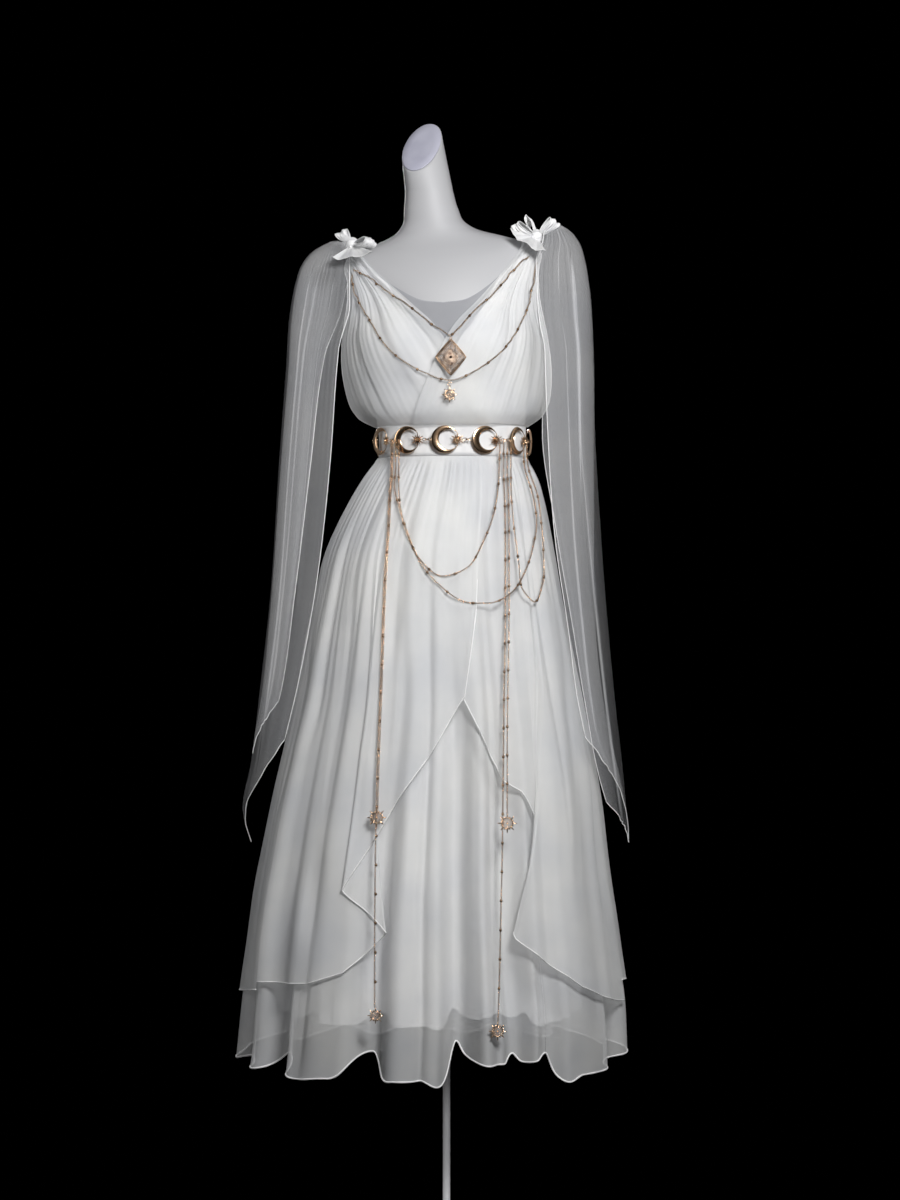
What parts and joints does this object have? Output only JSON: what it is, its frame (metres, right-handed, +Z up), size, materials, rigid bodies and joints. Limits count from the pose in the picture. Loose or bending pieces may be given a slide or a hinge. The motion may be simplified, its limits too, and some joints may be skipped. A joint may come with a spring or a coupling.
{
  "type": "draped gown with long open sleeves on a limbless dress form",
  "caption": "Sheer draped full-length gown over a lining, with long open sleeve panels, shoulder bows, fine necklaces and a chain belt, on a limbless dress form with a pole and round base.",
  "frame": {"origin": "middle of the underside of the round base, which is under the pole's axis", "axes": "+Z up the pole, -Y to the front of the gown, +X to the right of the front view"},
  "size_m": [0.6409, 0.5413, 1.8199],
  "materials": {
    "organza": "sheer white organza, fine weave, soft sheen",
    "tulle": "very sheer white tulle",
    "satin_lining": "white satin",
    "form_white": "gloss white",
    "form_grey": "grey-lilac satin",
    "rose_gold": "polished rose gold plate",
    "chrome": "polished"
  },
  "bodies": {
    "root": {"belt_link_01": "rose_gold", "belt_link_02": "rose_gold", "belt_link_03": "rose_gold", "belt_link_04": "rose_gold", "belt_link_05": "rose_gold", "belt_link_06": "rose_gold", "belt_link_07": "rose_gold", "belt_link_08": "rose_gold", "belt_link_09": "rose_gold", "belt_link_10": "rose_gold", "belt_link_11": "rose_gold", "bodice_back_left": "organza", "bodice_back_right": "organza", "bodice_front_left": "organza", "bodice_front_right": "organza", "bodice_lining_back": "satin_lining", "bodice_lining_front": "satin_lining", "bow_left_knot": "satin_lining", "bow_left_loop_inner": "satin_lining", "bow_left_loop_outer": "satin_lining", "bow_left_tail": "satin_lining", "bow_right_knot": "satin_lining", "bow_right_loop_back": "satin_lining", "bow_right_loop_inner": "satin_lining", "bow_right_loop_outer": "satin_lining", "bow_right_tail": "satin_lining", "charm_left_lower": "rose_gold", "charm_left_upper": "rose_gold", "charm_right_lower": "rose_gold", "charm_right_upper": "rose_gold", "form_torso": "form_white", "neck_cap": "form_grey", "necklace_swag": "rose_gold", "necklace_v": "rose_gold", "overskirt_back": "organza", "overskirt_front_left": "organza", "overskirt_front_right": "organza", "pendant_rhombus": "rose_gold", "pendant_sun": "rose_gold", "pole_socket": "chrome", "side_loop": "rose_gold", "skirt_back": "organza", "skirt_front": "organza", "skirt_left_side": "organza", "skirt_lining_back": "satin_lining", "skirt_lining_front": "satin_lining", "skirt_right_side": "organza", "sleeve_left_back": "tulle", "sleeve_left_front": "tulle", "sleeve_right_back": "tulle", "sleeve_right_front": "tulle", "stand_base": "chrome", "stand_pole": "chrome", "strand_left": "rose_gold", "strand_right_inner": "rose_gold", "strand_right_outer": "rose_gold", "swag_inner": "rose_gold", "swag_outer": "rose_gold", "waistband": "satin_lining"}
  },
  "joints": []
}
